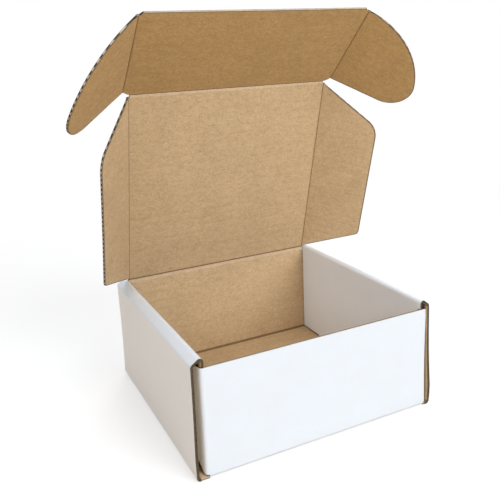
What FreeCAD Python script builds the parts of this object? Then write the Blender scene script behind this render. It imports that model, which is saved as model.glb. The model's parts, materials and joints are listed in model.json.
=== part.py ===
import FreeCAD, Part

import os
import re

import Sketcher

# A small corrugated mailer box, folded from one die-cut sheet of single-wall board and standing open.
# X runs to the right, Y to the back, Z up. The origin is the middle of the underside of the tray.
# The tray is one folded strip of board: base, walls, rolled side walls and corner tabs.
# The lid, its two side flaps, the tuck flap and its two ears meet it and each other at creases.

SIZES = {
    "thickness": (1.6, "board thickness"),
    "tray_width": (170, "outside width of the tray, along X"),
    "tray_depth": (150, "outside depth of the tray, along Y"),
    "tray_height": (74, "height of the rolled side walls' outer folds, where the lid's crease is too"),
    "roll_rise": (2.4, "how much higher a rolled wall's inner fold stands than its outer fold"),
    "wall_drop": (4, "how far the front wall and the corner tabs end below the outer folds"),
    "roll_width": (8, "outside width of a rolled side wall"),
    "fold_radius": (2.4, "outside radius of the folds along the base"),
    "roll_radius": (2.4, "outside radius of the two folds along a rolled wall's top"),
    "corner_radius": (5, "outside radius of the upright folds at the tray's corners"),
    "tab_length": (55, "reach of a corner tab into the rolled wall, from the wall it hangs on"),
    "tab_gap": (0.5, "gap between a corner tab and the outer side wall"),
    "panel_setback": (0.6, "gap between the rolled-in panel's end and the front or back wall"),
    "panel_lift": (0.5, "gap between the rolled-in panel's lower edge and the base"),
    "lock_width": (24, "width of a lock tab"),
    "lock_spacing": (74, "distance between the two lock tabs of a side"),
    "lock_taper": (1.5, "narrowing of a lock tab on each side, towards its end"),
    "lock_depth": (1.2, "how deep a lock tab reaches into its slot in the base"),
    "lock_clearance": (0.4, "gap round a lock tab in its slot"),
    "crease_gap": (0.2, "gap left in a crease beside its rounded edge"),
    "lid_clearance": (0.4, "gap between the closed tuck flap and the front wall"),
    "flap_clearance": (0.2, "gap between a folded side flap and the rolled-in panel"),
    "flap_reach": (45.6, "how far a side flap stands out from its crease"),
    "flap_low": (24.3, "distance of a side flap's lower corner from the lid's hinge, along the lid"),
    "flap_high": (117, "distance of a side flap's upper corner from the lid's hinge, along the lid"),
    "flap_end": (1.6, "distance of each end of a side flap's crease from the lid's corner"),
    "flap_low_radius": (3.0, "rounding of a side flap's lower corner"),
    "flap_high_radius": (15, "rounding of a side flap's upper corner"),
    "tuck_length": (71, "length of the tuck flap from its crease"),
    "ear_offset": (4.5, "distance from a side flap's crease out to the ear's crease"),
    "ear_notch": (3, "distance from the tuck flap's crease to the start of the ear"),
    "ear_inset": (2.2, "chamfer of the tuck flap's far corners, where the ears' creases end"),
    "ear_reach": (58, "how far an ear stands out from its crease"),
    "ear_tip_radius": (18.3, "radius of an ear's tip"),
    "ear_sweep_radius": (64.5, "radius of an ear's long curved edge"),
}

ANGLES = {
    "lid_lean": (74.5, "angle of the lid above its closed position"),
    "flap_fold_left": (52, "inward fold of the left side flap"),
    "flap_fold_right": (45, "inward fold of the right side flap"),
    "tuck_fold": (31, "inward fold of the tuck flap"),
    "ear_fold_left": (40, "inward fold of the left ear"),
    "ear_fold_right": (38, "inward fold of the right ear"),
}

# Heights and distances from the middle that several panels share, as formulas of the sizes above.
HALF_WIDTH = "(tray_width / 2)"
HALF_DEPTH = "(tray_depth / 2)"
WALL_TOP = "(tray_height - wall_drop)"
BASE_X = "(tray_width / 2 - fold_radius)"
BASE_Y = "(tray_depth / 2 - fold_radius)"
ROLL_INSIDE = "(tray_width / 2 - roll_width)"
CORNER_X = "(tray_width / 2 - thickness - tab_gap)"
FLAT_X = "(tray_width / 2 - thickness - tab_gap - corner_radius)"
PANEL_Y = "(tray_depth / 2 - thickness - panel_setback)"
PANEL_LOW = "(thickness + panel_lift)"
ROLL_LOW = "(tray_height - roll_radius)"
ROLL_HIGH = "(tray_height - roll_radius + roll_rise)"
ROLL_RUN = "(roll_width - 2 * roll_radius)"
SHOULDER = "(tray_height - wall_drop + panel_setback)"
EDGE = "(thickness / 2 + crease_gap)"
FLAP_X = "(tray_width / 2 - roll_width - flap_clearance - thickness / 2)"
LID_X = "(tray_width / 2 - roll_width - flap_clearance - thickness - crease_gap)"
LID_LENGTH = "(tray_depth - 2 * thickness - lid_clearance)"
EAR_X = "(tray_width / 2 - roll_width - flap_clearance - thickness / 2 + ear_offset)"
TUCK_X = "(tray_width / 2 - roll_width - flap_clearance - thickness + ear_offset - crease_gap)"
EAR_LENGTH = "(tuck_length - ear_notch - ear_inset)"

doc = FreeCAD.newDocument("MailerBox")
sheet = doc.addObject("Spreadsheet::Sheet", "Sizes")
for row, (alias, (number, meaning)) in enumerate([*SIZES.items(), *ANGLES.items()], start=1):
    sheet.set(f"A{row}", meaning)
    sheet.set(f"B{row}", str(number))
    sheet.setAlias(f"B{row}", alias)
doc.recompute()


def value(formula):
    """The number that a formula of the sheet's aliases gives."""
    return float(sheet.evalExpression(formula))


def bound(formula):
    """The formula with each alias written as a reference to the sheet."""
    return re.sub(r"[a-z_]{3,}", lambda word: f"Sizes.{word.group()}", formula)


def new_body(label):
    body = doc.addObject("PartDesign::Body", label)
    body.Label = label
    return body


def new_sketch(body, name, plane, lift="0"):
    """A sketch on one of the body's own origin planes, lifted along that plane's normal."""
    sketch = body.newObject("Sketcher::SketchObject", name)
    support = next(item for item in body.Origin.OriginFeatures if item.Role == plane)
    sketch.AttachmentSupport = [(support, "")]
    sketch.MapMode = "FlatFace"
    sketch.setExpression("AttachmentOffset.Base.z", bound(lift))
    return sketch


def add_edge(sketch, start, end, radius, turn):
    """A line, or an arc that turns left (1) or right (-1), and the numbers of its start and end points."""
    if not turn:
        return sketch.addGeometry(Part.LineSegment(start, end), False), 1, 2
    half = (end - start) * 0.5
    across = FreeCAD.Vector(-half.y, half.x, 0).normalize()
    centre = start + half + across * turn * max(radius**2 - half.Length**2, 0) ** 0.5
    first, last = (start, end) if turn > 0 else (end, start)
    circle = Part.Circle(centre, FreeCAD.Vector(0, 0, 1), radius)
    arc = Part.ArcOfCircle(circle, circle.parameter(first), circle.parameter(last))
    number = sketch.addGeometry(arc, False)
    return (number, 1, 2) if turn > 0 else (number, 2, 1)


def add_loop(sketch, corners):
    """A closed outline: each corner is (x, y), or (x, y, radius, turn) where an arc leaves it."""
    places = [FreeCAD.Vector(value(corner[0]), value(corner[1]), 0) for corner in corners]
    edges = []
    for index, corner in enumerate(corners):
        radius, turn = corner[2:] if len(corner) > 2 else ("0", 0)
        end = places[(index + 1) % len(places)]
        edges.append(add_edge(sketch, places[index], end, value(radius), turn))
    for index, corner in enumerate(corners):
        number, begin, _ = edges[index]
        before, _, finish = edges[index - 1]
        sketch.addConstraint(Sketcher.Constraint("Coincident", before, finish, number, begin))
        for kind, formula, place in zip(("DistanceX", "DistanceY"), corner, places[index]):
            limit = Sketcher.Constraint(kind, -1, 1, number, begin, place)
            sketch.setExpression(f"Constraints[{sketch.addConstraint(limit)}]", bound(formula))
        if len(corner) > 2:
            limit = Sketcher.Constraint("Radius", number, value(corner[2]))
            sketch.setExpression(f"Constraints[{sketch.addConstraint(limit)}]", bound(corner[2]))


def pad(body, name, plane, loops, length, lift="0", both_ways=False):
    """A pad of closed outlines; the loops after the first are holes."""
    sketch = new_sketch(body, f"{name}_outline", plane, lift)
    for corners in loops:
        add_loop(sketch, corners)
    feature = body.newObject("PartDesign::Pad", name)
    feature.Profile = sketch
    feature.SideType = "Symmetric" if both_ways else "One side"
    feature.setExpression("Length", bound(length))
    return feature


def rectangle(low_x, high_x, low_y, high_y):
    return [(low_x, low_y), (high_x, low_y), (high_x, high_y), (low_x, high_y)]


def round_corners(body, name, feature, corners, radius):
    """Rounds a flat panel's edges that stand on the given corners of its outline."""
    doc.recompute()
    places = [FreeCAD.Vector(value(x), value(y), 0) for x, y in corners]
    flat = [
        [FreeCAD.Vector(point.Point.x, point.Point.y, 0) for point in edge.Vertexes]
        for edge in feature.Shape.Edges
    ]
    near = value("thickness") / 100
    chosen = [
        f"Edge{number}"
        for number, ends in enumerate(flat, start=1)
        if any(all(end.distanceToPoint(place) < near for end in ends) for place in places)
    ]
    fillet = body.newObject("PartDesign::Fillet", name)
    fillet.Base = (feature, chosen)
    fillet.setExpression("Radius", bound(radius))
    return fillet


def add_knuckle(body, direction, start, length):
    """The rounded edge of a panel along its crease, which turns in the crease."""
    knuckle = body.newObject("PartDesign::AdditiveCylinder", "crease_edge")
    turn = FreeCAD.Rotation(FreeCAD.Vector(0, 0, 1), FreeCAD.Vector(direction))
    knuckle.Placement = FreeCAD.Placement(FreeCAD.Vector(direction) * value(start), turn)
    axis = "xyz"[list(direction).index(1)]
    knuckle.setExpression(f"Placement.Base.{axis}", bound(start))
    knuckle.setExpression("Radius", bound("thickness / 2"))
    knuckle.setExpression("Height", bound(length))


def add_base(tray):
    """The base panel with the four slots that take the lock tabs."""
    slots = []
    for side in (-1, 1):
        for end in (-1, 1):
            near = f"{side} * ({ROLL_INSIDE} + thickness / 2)"
            middle = f"{end} * lock_spacing / 2"
            half = "(thickness / 2 + lock_clearance)"
            reach = "(lock_width / 2 + lock_clearance)"
            slots.append(rectangle(f"{near} - {half}", f"{near} + {half}",
                                   f"{middle} - {reach}", f"{middle} + {reach}"))
    outline = rectangle(f"-{BASE_X}", BASE_X, f"-{BASE_Y}", BASE_Y)
    pad(tray, "base", "XY_Plane", [outline] + slots, "thickness")


def add_rolled_wall(tray, side, name):
    """A side wall from the fold at the base up and over its rolled top."""
    inner = "(fold_radius - thickness)"
    top_inner = "(roll_radius - thickness)"
    outside = f"{side} * {HALF_WIDTH}"
    inside = f"{side} * {ROLL_INSIDE}"
    # The rolled top slopes up to its inner fold. A fold's arc ends aside and up by these shares of its radius.
    slope = f"(({ROLL_RUN} ^ 2 + roll_rise ^ 2) ^ 0.5)"
    aside = f"(roll_rise / {slope})"
    upward = f"({ROLL_RUN} / {slope})"

    def fold_end(centre_x, centre_z, radius):
        return f"{side} * ({centre_x} + {radius} * {aside})", f"{centre_z} + {radius} * {upward}"

    outer_fold = (f"{HALF_WIDTH} - roll_radius", ROLL_LOW)
    inner_fold = (f"{ROLL_INSIDE} + roll_radius", ROLL_HIGH)
    profile = [
        (f"{side} * {BASE_X}", "0", "fold_radius", side),
        (outside, "fold_radius"),
        (outside, ROLL_LOW, "roll_radius", side),
        fold_end(*outer_fold, "roll_radius"),
        (*fold_end(*inner_fold, "roll_radius"), "roll_radius", side),
        (inside, ROLL_HIGH),
        (inside, SHOULDER),
        (f"{inside} + {side} * thickness", SHOULDER),
        (f"{inside} + {side} * thickness", ROLL_HIGH, top_inner, -side),
        fold_end(*inner_fold, top_inner),
        (*fold_end(*outer_fold, top_inner), top_inner, -side),
        (f"{outside} - {side} * thickness", ROLL_LOW),
        (f"{outside} - {side} * thickness", "fold_radius", inner, -side),
        (f"{side} * {BASE_X}", "thickness"),
    ]
    pad(tray, f"rolled_wall_{name}", "XZ_Plane", [profile], "tray_depth", both_ways=True)


def add_inner_panel(tray, side, name):
    """The panel that hangs inside a rolled wall, with its two lock tabs."""
    lock_low = "(thickness - lock_depth)"
    outline = [(f"-{PANEL_Y}", PANEL_LOW)]
    for end in (-1, 1):
        middle = f"{end} * lock_spacing / 2"
        outline += [
            (f"{middle} - lock_width / 2", PANEL_LOW),
            (f"{middle} - lock_width / 2 + lock_taper", lock_low),
            (f"{middle} + lock_width / 2 - lock_taper", lock_low),
            (f"{middle} + lock_width / 2", PANEL_LOW),
        ]
    outline += [(PANEL_Y, PANEL_LOW), (PANEL_Y, SHOULDER), (f"-{PANEL_Y}", SHOULDER)]
    lift = ROLL_INSIDE if side > 0 else f"-{ROLL_INSIDE} - thickness"
    pad(tray, f"inner_panel_{name}", "YZ_Plane", [outline], "thickness", lift)


def add_end_wall(tray, end, name):
    """The front (-1) or back (1) wall, from the fold at the base up."""
    face = f"{end} * {HALF_DEPTH}"
    profile = [
        (f"{end} * {BASE_Y}", "0", "fold_radius", end),
        (face, "fold_radius"),
        (face, WALL_TOP),
        (f"{face} - {end} * thickness", WALL_TOP),
        (f"{face} - {end} * thickness", "fold_radius", "(fold_radius - thickness)", -end),
        (f"{end} * {BASE_Y}", "thickness"),
    ]
    pad(tray, f"{name}_wall", "YZ_Plane", [profile], f"2 * {FLAT_X}", both_ways=True)


def add_corner_tab(tray, side, end, name):
    """The rounded upright corner of an end wall, and its tab inside the rolled wall."""
    turn = side * end
    face = f"{end} * {HALF_DEPTH}"
    bend = f"{end} * ({HALF_DEPTH} - corner_radius)"
    tip = f"{end} * ({HALF_DEPTH} - tab_length)"
    outside = f"{side} * {CORNER_X}"
    profile = [
        (f"{side} * {FLAT_X}", face, "corner_radius", -turn),
        (outside, bend),
        (outside, tip),
        (f"{outside} - {side} * thickness", tip),
        (f"{outside} - {side} * thickness", bend, "(corner_radius - thickness)", turn),
        (f"{side} * {FLAT_X}", f"{face} - {end} * thickness"),
    ]
    pad(tray, f"corner_tab_{name}", "XY_Plane", [profile], f"{WALL_TOP} - fold_radius", "fold_radius")


def build_tray():
    tray = new_body("tray")
    add_base(tray)
    for side, side_name in ((-1, "left"), (1, "right")):
        add_rolled_wall(tray, side, side_name)
        add_inner_panel(tray, side, side_name)
    for end, end_name in ((-1, "front"), (1, "back")):
        add_end_wall(tray, end, end_name)
        for side, side_name in ((-1, "left"), (1, "right")):
            add_corner_tab(tray, side, end, f"{end_name}_{side_name}")
    crest = rectangle(f"-{LID_X}", LID_X, WALL_TOP, "tray_height - crease_gap")
    pad(tray, "back_wall_crest", "XZ_Plane", [crest], "thickness", f"-{HALF_DEPTH}")
    return tray


def build_lid_panel():
    """The lid's flat panel; its own Y runs from the hinge to the tuck flap, its Z to the inside."""
    panel = new_body("lid_panel")
    outline = rectangle(f"-{LID_X}", LID_X, "0", f"{LID_LENGTH} - {EDGE}")
    pad(panel, "panel", "XY_Plane", [outline], "thickness", both_ways=True)
    add_knuckle(panel, (1, 0, 0), f"-{LID_X}", f"2 * {LID_X}")
    return panel


def build_side_flap(side, name):
    """A side flap, with its crease along its own Y."""
    flap = new_body(f"lid_side_flap_{name}")
    reach = f"{side} * flap_reach"
    low_end = "flap_end"
    high_end = f"({LID_LENGTH} - flap_end)"
    outline = [("0", low_end), (reach, "flap_low"), (reach, "flap_high"), ("0", high_end)]
    feature = pad(flap, "panel", "XY_Plane", [outline], "thickness", both_ways=True)
    feature = round_corners(flap, "low_corner", feature, [(reach, "flap_low")], "flap_low_radius")
    round_corners(flap, "high_corner", feature, [(reach, "flap_high")], "flap_high_radius")
    add_knuckle(flap, (0, 1, 0), low_end, f"{high_end} - {low_end}")
    return flap


def build_tuck_flap():
    """The tuck flap, which widens past the notches beside its crease to carry the ears."""
    tuck = new_body("tuck_flap")
    outline = [
        (f"-{LID_X}", "0"), (LID_X, "0"), (TUCK_X, "ear_notch"),
        (TUCK_X, "tuck_length - ear_inset"), (f"{TUCK_X} - ear_inset", "tuck_length"),
        (f"ear_inset - {TUCK_X}", "tuck_length"), (f"-{TUCK_X}", "tuck_length - ear_inset"),
        (f"-{TUCK_X}", "ear_notch"),
    ]
    pad(tuck, "panel", "XY_Plane", [outline], "thickness", both_ways=True)
    add_knuckle(tuck, (1, 0, 0), f"-{LID_X}", f"2 * {LID_X}")
    return tuck


def build_ear(side, name):
    """An ear: a straight lower edge, a round tip and one long curve back to the tuck flap's edge."""
    ear = new_body(f"tuck_ear_{name}")
    sketch = new_sketch(ear, "panel_outline", "XY_Plane")
    length, reach = value(EAR_LENGTH), value("ear_reach")
    tip_radius, sweep_radius = value("ear_tip_radius"), value("ear_sweep_radius")
    # The sweep's centre lies where it touches the tip's circle and passes the far end of the crease.
    tip = FreeCAD.Vector(reach - tip_radius, tip_radius, 0)
    far = FreeCAD.Vector(0, length, 0)
    apart = (tip - far).Length
    along = (sweep_radius**2 - (sweep_radius - tip_radius) ** 2 + apart**2) / (2 * apart)
    aside = (sweep_radius**2 - along**2) ** 0.5
    way = (tip - far) / apart
    centre = far + way * along + FreeCAD.Vector(way.y, -way.x, 0) * aside
    touch = tip + (tip - centre).normalize() * tip_radius
    mirror = FreeCAD.Matrix()
    mirror.A11 = side
    start, foot, touch, far = (
        mirror.multVec(place)
        for place in (FreeCAD.Vector(0, 0, 0), FreeCAD.Vector(tip.x, 0, 0), touch, far)
    )
    low_edge = add_edge(sketch, start, foot, 0, 0)
    tip_edge = add_edge(sketch, foot, touch, tip_radius, side)
    sweep_edge = add_edge(sketch, touch, far, sweep_radius, side)
    crease = add_edge(sketch, far, start, 0, 0)
    edges = [low_edge, tip_edge, sweep_edge, crease]
    sketch.addConstraint(Sketcher.Constraint("Coincident", low_edge[0], 1, -1, 1))
    sketch.addConstraint(Sketcher.Constraint("Horizontal", low_edge[0]))
    sketch.addConstraint(Sketcher.Constraint("Vertical", crease[0]))
    for one, two in zip(edges, edges[1:] + edges[:1]):
        kind = "Coincident" if crease in (one, two) else "Tangent"
        sketch.addConstraint(Sketcher.Constraint(kind, one[0], one[2], two[0], two[1]))
    drives = [
        (Sketcher.Constraint("DistanceY", -1, 1, crease[0], crease[1], length), EAR_LENGTH),
        (Sketcher.Constraint("DistanceX", -1, 1, low_edge[0], 2, foot.x),
         f"{side} * (ear_reach - ear_tip_radius)"),
        (Sketcher.Constraint("Radius", tip_edge[0], tip_radius), "ear_tip_radius"),
        (Sketcher.Constraint("Radius", sweep_edge[0], sweep_radius), "ear_sweep_radius"),
    ]
    for limit, formula in drives:
        sketch.setExpression(f"Constraints[{sketch.addConstraint(limit)}]", bound(formula))
    panel = ear.newObject("PartDesign::Pad", "panel")
    panel.Profile = sketch
    panel.SideType = "Symmetric"
    panel.setExpression("Length", bound("thickness"))
    add_knuckle(ear, (0, 1, 0), "0", EAR_LENGTH)
    return ear


def crease_frame(parent, place, axis, angle):
    """The frame of a panel that is folded about an axis at a place of the panel that carries it."""
    turn = FreeCAD.Rotation(FreeCAD.Vector(axis), angle)
    return parent * FreeCAD.Placement(FreeCAD.Vector(place), turn)


def place_panels(panels):
    """Folds the lid and its flaps to where they stand in the open box."""
    half = value("thickness / 2")
    hinge = (0, value(HALF_DEPTH) - half, value("tray_height") + half)
    lid = crease_frame(FreeCAD.Placement(), hinge, (1, 0, 0), 180 - value("lid_lean"))
    tuck = crease_frame(lid, (0, value(LID_LENGTH), 0), (1, 0, 0), value("tuck_fold"))
    panels["lid_panel"].Placement = lid
    panels["tuck_flap"].Placement = tuck
    for side, name in ((-1, "left"), (1, "right")):
        flap_fold = value(f"flap_fold_{name}")
        ear_fold = value(f"ear_fold_{name}")
        beside_lid = (side * value(FLAP_X), 0, 0)
        beside_tuck = (side * value(EAR_X), value("ear_notch"), 0)
        flap = crease_frame(lid, beside_lid, (0, 1, 0), -side * flap_fold)
        ear = crease_frame(tuck, beside_tuck, (0, 1, 0), -side * ear_fold)
        panels[f"lid_side_flap_{name}"].Placement = flap
        panels[f"tuck_ear_{name}"].Placement = ear


def check_model(panels):
    """Stops if an object failed to build or a panel isn't one valid solid."""
    for item in doc.Objects:
        if "Invalid" in item.State or "Error" in item.State:
            raise RuntimeError(f"{item.Name} failed: {item.State}")
    for label, panel in panels.items():
        shape = panel.Shape
        if shape.isNull() or not shape.isValid() or len(shape.Solids) != 1:
            raise RuntimeError(f"{label} isn't one valid solid")


def export_panels(panels):
    os.makedirs("parts", exist_ok=True)
    for label, panel in panels.items():
        panel.Shape.exportStep(f"parts/{label}.step")
        box = panel.Shape.BoundBox
        size = f"{box.XLength:.1f} x {box.YLength:.1f} x {box.ZLength:.1f} mm"
        print(f"{label}: {panel.Shape.Volume:.0f} mm3, {size}")


def main():
    bodies = [build_tray(), build_lid_panel(), build_tuck_flap()]
    for side, name in ((-1, "left"), (1, "right")):
        bodies += [build_side_flap(side, name), build_ear(side, name)]
    panels = {body.Label: body for body in bodies}
    place_panels(panels)
    doc.recompute()
    check_model(panels)
    export_panels(panels)


main()
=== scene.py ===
import json
import math

import bpy
import numpy as np
from mathutils import Matrix, Vector


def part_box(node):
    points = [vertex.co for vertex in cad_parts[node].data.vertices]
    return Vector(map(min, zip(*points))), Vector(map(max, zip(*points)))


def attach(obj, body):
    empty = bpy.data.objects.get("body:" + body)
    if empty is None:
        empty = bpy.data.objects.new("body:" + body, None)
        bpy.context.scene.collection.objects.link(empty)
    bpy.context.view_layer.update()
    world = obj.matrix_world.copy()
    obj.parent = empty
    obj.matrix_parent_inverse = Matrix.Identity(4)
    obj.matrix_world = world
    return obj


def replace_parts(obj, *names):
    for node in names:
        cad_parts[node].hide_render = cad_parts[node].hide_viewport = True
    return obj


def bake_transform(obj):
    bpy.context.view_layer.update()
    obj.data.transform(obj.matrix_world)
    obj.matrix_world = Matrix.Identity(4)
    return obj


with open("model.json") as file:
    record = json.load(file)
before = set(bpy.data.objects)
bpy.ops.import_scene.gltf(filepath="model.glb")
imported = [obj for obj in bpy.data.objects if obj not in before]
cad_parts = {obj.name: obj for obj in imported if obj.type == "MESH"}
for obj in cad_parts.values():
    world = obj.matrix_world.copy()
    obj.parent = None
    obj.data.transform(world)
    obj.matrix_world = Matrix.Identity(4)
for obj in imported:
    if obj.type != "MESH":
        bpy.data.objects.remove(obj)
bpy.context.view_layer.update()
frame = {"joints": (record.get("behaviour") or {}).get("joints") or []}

# Lengths are in metres. The board: two paper liners with a fluted sheet between them.
MM = 0.001
BOARD = 1.6 * MM
HALF = BOARD / 2
LINER = 0.28 * MM
FLUTE_PITCH = 3.3 * MM
FLUTE_PAPER = 0.16 * MM
FLUTE_SWING = HALF - LINER - FLUTE_PAPER / 2
WASHBOARD = 0.012 * MM

# Its cut sides: dark rims of the kraft side, where the board is pressed thinner, with painted shade that
# makes them widest along the low cut ends, and crushed flute ends.
RIM, SHADED_LOW_RIM, HIGH_RIM, RIM_SHARE = 0.7 * MM, 1.1 * MM, 0.2 * MM, 0.2
CRUSH = 0.2 * MM
CRUSHED_DEPTH, CRUSHED_INSET, CRUSHED_SHARE, CRUSHED_WIDTH_SHARE = 0.8 * MM, 0.1, 0.42, 0.3
CORE_SETBACK, CORE_SHARE = 0.3 * MM, 0.45

# The meshes' grids.
SAMPLES_PER_FLUTE = 8
ROW_GRAIN, ROW_MARGIN = 0.02 * MM, 0.3
GRID, FINE_GRID = 6 * MM, 1.4 * MM
WIDE_COLUMNS, FLAP_COLUMNS, EAR_COLUMNS = 25, 9, 11
SHARP_ANGLE = math.radians(38)

# The creases of the moving flaps.
CREASE_EDGE, CREASE_LAP, CREASE_LIP, LIP_SHARE = 1.0 * MM, 0.05 * MM, 0.35 * MM, 0.3
CREASE_POINTS, CREASE_STEPS, CREASE_ARMS = 9, 25, 7
BLEND_REACH, HINGE_SPARE, EAR_CREASE_START = 0.6 * MM, 0.6 * MM, 0.2 * MM
HINGE_GROOVE, TUCK_GROOVE, FLAP_GROOVE = -0.05 * MM, 0.1 * MM, 0.3 * MM
# Widths of the painted highlight beside the folds, the painted shade above the lid's hinge, and the painted
# shade at the end walls' feet.
PAINTED_HIGHLIGHT_BAND, PAINTED_SHADE_BAND, PAINTED_SHADE_FOOT_BAND = 1.2 * MM, 0.5 * MM, 0.9 * MM

# The tray's folds.
FOLD_RADIUS = 2.4 * MM
ROLL_RADIUS = 2.4 * MM
ROLL_WIDTH = 8.0 * MM
ROLL_RISE = 2.4 * MM
WALL_DROP = 4.0 * MM
CREST_GAP = 0.2 * MM
PANEL_SETBACK = 0.6 * MM
PANEL_LIFT = 1.2 * MM
TAB_LENGTH, TAB_GAP = 55 * MM, 0.5 * MM
LOCK_WIDTH, LOCK_SPACING = 24 * MM, 74 * MM
LOCK_DEPTH, LOCK_CLEARANCE = 1.2 * MM, 0.4 * MM

# Its upright corners, left and right, and the cut at their feet: its stops after the turn, and its height.
CORNER_RUN = {-1: 5.9 * MM, 1: 1.9 * MM}
CORNER_TURN = {-1: math.radians(73), 1: math.radians(84)}
CORNER_TURN_RADIUS, CORNER_EASE_RADIUS = {-1: 1.6 * MM, 1: 0.95 * MM}, 8.0 * MM
RELIEF_STOPS, CORNER_RELIEF = (1.0 * MM, 6.6 * MM, 14.0 * MM), 7.5 * MM
CORNER_SHY, LEAST_SLANT = 0.3 * MM, 0.1 * MM

# Unevenness of hand-folded board. The flares give the outer walls' shift outwards at the front by height.
BULGE, BULGE_WAVES, BULGE_X, BULGE_Y = 0.3 * MM, 0.5, (60 * MM, 15 * MM), (60 * MM, 12 * MM)
WAVE_ALONG_X, WAVE_ALONG_Y = (37 * MM, 0.7), (41 * MM, 1.9)
RIPPLE, RIPPLE_LENGTHS, RIPPLE_TURN = 0.12 * MM, (17 * MM, 23 * MM), 2.3
LID_BOW, TUCK_BOW, BOW_FADE, TUCK_BOW_LENGTH = -0.35 * MM, 0.2 * MM, 0.6, 1.2
FLAP_CURL, EAR_CURL = (0.25 * MM, 31 * MM), (0.3 * MM, 21 * MM)
FLARE_TOP, FLARE_FRONT = (64 * MM, 6 * MM), (20 * MM, 50 * MM)
FLARE_ACROSS = ((1.9 * MM, 7.1 * MM), (0.4 * MM, 8.6 * MM))
RIGHT_FLARE = ((0, 12 * MM, 40 * MM, 76 * MM), (0.8 * MM, 2.0 * MM, 0.6 * MM, -0.8 * MM))
LEFT_FLARE = ((0, 14 * MM, 45 * MM, 76 * MM), (0.2 * MM, 0.6 * MM, 0.2 * MM, 0.0))

# The lid's flaps.
FLAP_REACH = 45.6 * MM
FLAP_LOW, FLAP_HIGH, FLAP_END, FLAP_BLUNT = 25.0 * MM, 117 * MM, 1.6 * MM, 0.8 * MM
FLAP_LOW_RADIUS, FLAP_HIGH_RADIUS = 4.2 * MM, 15.0 * MM
TUCK_LENGTH = 71 * MM
EAR_NOTCH, EAR_INSET, EAR_BLUNT = 3.0 * MM, 2.2 * MM, 0.4 * MM
EAR_REACH, EAR_TIP, EAR_SWEEP = 58 * MM, 18.3 * MM, 64.5 * MM
CORNER_POINTS, TIP_POINTS, SWEEP_POINTS = 10, 24, 40

# Where each panel's paper lies on an endless sheet, so that no two show the same marks.
FLAP_PLACE, FLAP_PLACE_ALONG, EAR_PLACE = 0.2, 0.001, 0.3
BASE_PLACE, WALL_PLACE, END_PLACE, TAB_PLACE = -0.3, 0.5, 0.5, 0.2

# The paper's marks: their lengths across the flutes and along them, the noise's detail and its seed.
MARKS = {
    "clouds": (16 * MM, 22 * MM, 2.0, 3.1),
    "blotches": (2.6 * MM, 3.8 * MM, 2.0, 7.7),
    "grains": (0.9 * MM, 1.5 * MM, 3.0, 2.9),
    "flecks": (0.9 * MM, 4.0 * MM, 1.0, 1.3),
}
FINE_MARK, FUZZ_MARK = (0.25 * MM, 0.7 * MM, 4.0, 5.5), (0.6 * MM, 0.9 * MM, 4.0, 9.1)
NOISE_RANGE, MARK_RANGES = (0.3, 0.7), {"flecks": (0.2, 0.36), "stripes": (0.0, 0.5)}
SHADE_POWERS = (1.0, 1.15, 1.4)
BLOTCH_DEPTH, BUMP_DEPTH = 0.5, 0.05 * MM

# The stripes that the flutes leave on the liner. A wave texture has 3.1831 bands to a unit at scale 1.
STRIPE_SCALE, STRIPE_STRETCH = 0.5 / 3.1831, 0.06

# The studio: each lamp's place, size, power and colour.
LIT_POINT = Vector((0, 0, 0.1))
LAMPS = (
    ("key", (0.55, -1.5, 1.0), 1.2, 25.0, (0.96, 1.0, 1.05)),
    ("fill", (-1.4, -0.8, 0.9), 1.2, 13.5, (1.01, 1.0, 0.985)),
    ("top", (0.0, -0.2, 1.8), 1.6, 12.5, (0.99, 1.0, 1.015)),
    ("back", (0.7, 1.5, 0.8), 1.2, 16.0, (1.0, 1.0, 1.0)),
)
WORLD_COLOR, WORLD_STRENGTH = (1.0, 1.0, 1.0), 0.14
FLOOR, FLOOR_DROP = 3.0, 0.2 * MM
FLOOR_COLOR, FLOOR_SHOWN = (0.59, 0.53, 0.45), (0.5, 0.5, 0.5)
FLOOR_GLOW, FLOOR_FADE = 0.5, (0.28, 0.8)


def vector(values):
    return np.array(list(values), float)


def unit(values):
    values = vector(values)
    return values / np.linalg.norm(values)


joints = {joint["name"]: joint for joint in frame["joints"]}
RIGHT = np.array([1.0, 0.0, 0.0])

# The tray's sizes. FLAT_X is where the front and back walls' flat parts end, left (-1) and right (1).
HALF_WIDTH, HALF_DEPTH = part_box("tray")[1][:2]
TRAY_HEIGHT = joints["lid_hinge"]["pos_m"][2] - HALF
WALL_TOP = TRAY_HEIGHT - WALL_DROP
BASE_X, BASE_Y = HALF_WIDTH - FOLD_RADIUS, HALF_DEPTH - FOLD_RADIUS
LOCK_X = HALF_WIDTH - ROLL_WIDTH + HALF
LOCK_CENTRES = (-LOCK_SPACING / 2, LOCK_SPACING / 2)
CORNER_X = HALF_WIDTH - BOARD - TAB_GAP
FLAT_X = {side: CORNER_X - run for side, run in CORNER_RUN.items()}

# The lid's and the tuck flap's places and directions.
hinge_point = vector(joints["lid_hinge"]["pos_m"])
lid_up = unit(joints["side_flap_left_fold"]["axis"])
lid_in = np.cross(RIGHT, lid_up)
tuck_point = vector(joints["tuck_fold"]["pos_m"])
tuck_up = unit(joints["ear_left_fold"]["axis"])
tuck_in = np.cross(RIGHT, tuck_up)
LID_LENGTH = float(np.linalg.norm(tuck_point - hinge_point))
FLAP_X = abs(joints["side_flap_right_fold"]["pos_m"][0])
LID_X = FLAP_X - CREASE_EDGE
HINGE_X = FLAP_X + HINGE_SPARE
EAR_X = abs(joints["ear_right_fold"]["pos_m"][0])
TUCK_X = EAR_X - CREASE_EDGE
EAR_LENGTH = TUCK_LENGTH - EAR_NOTCH - EAR_INSET


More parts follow.
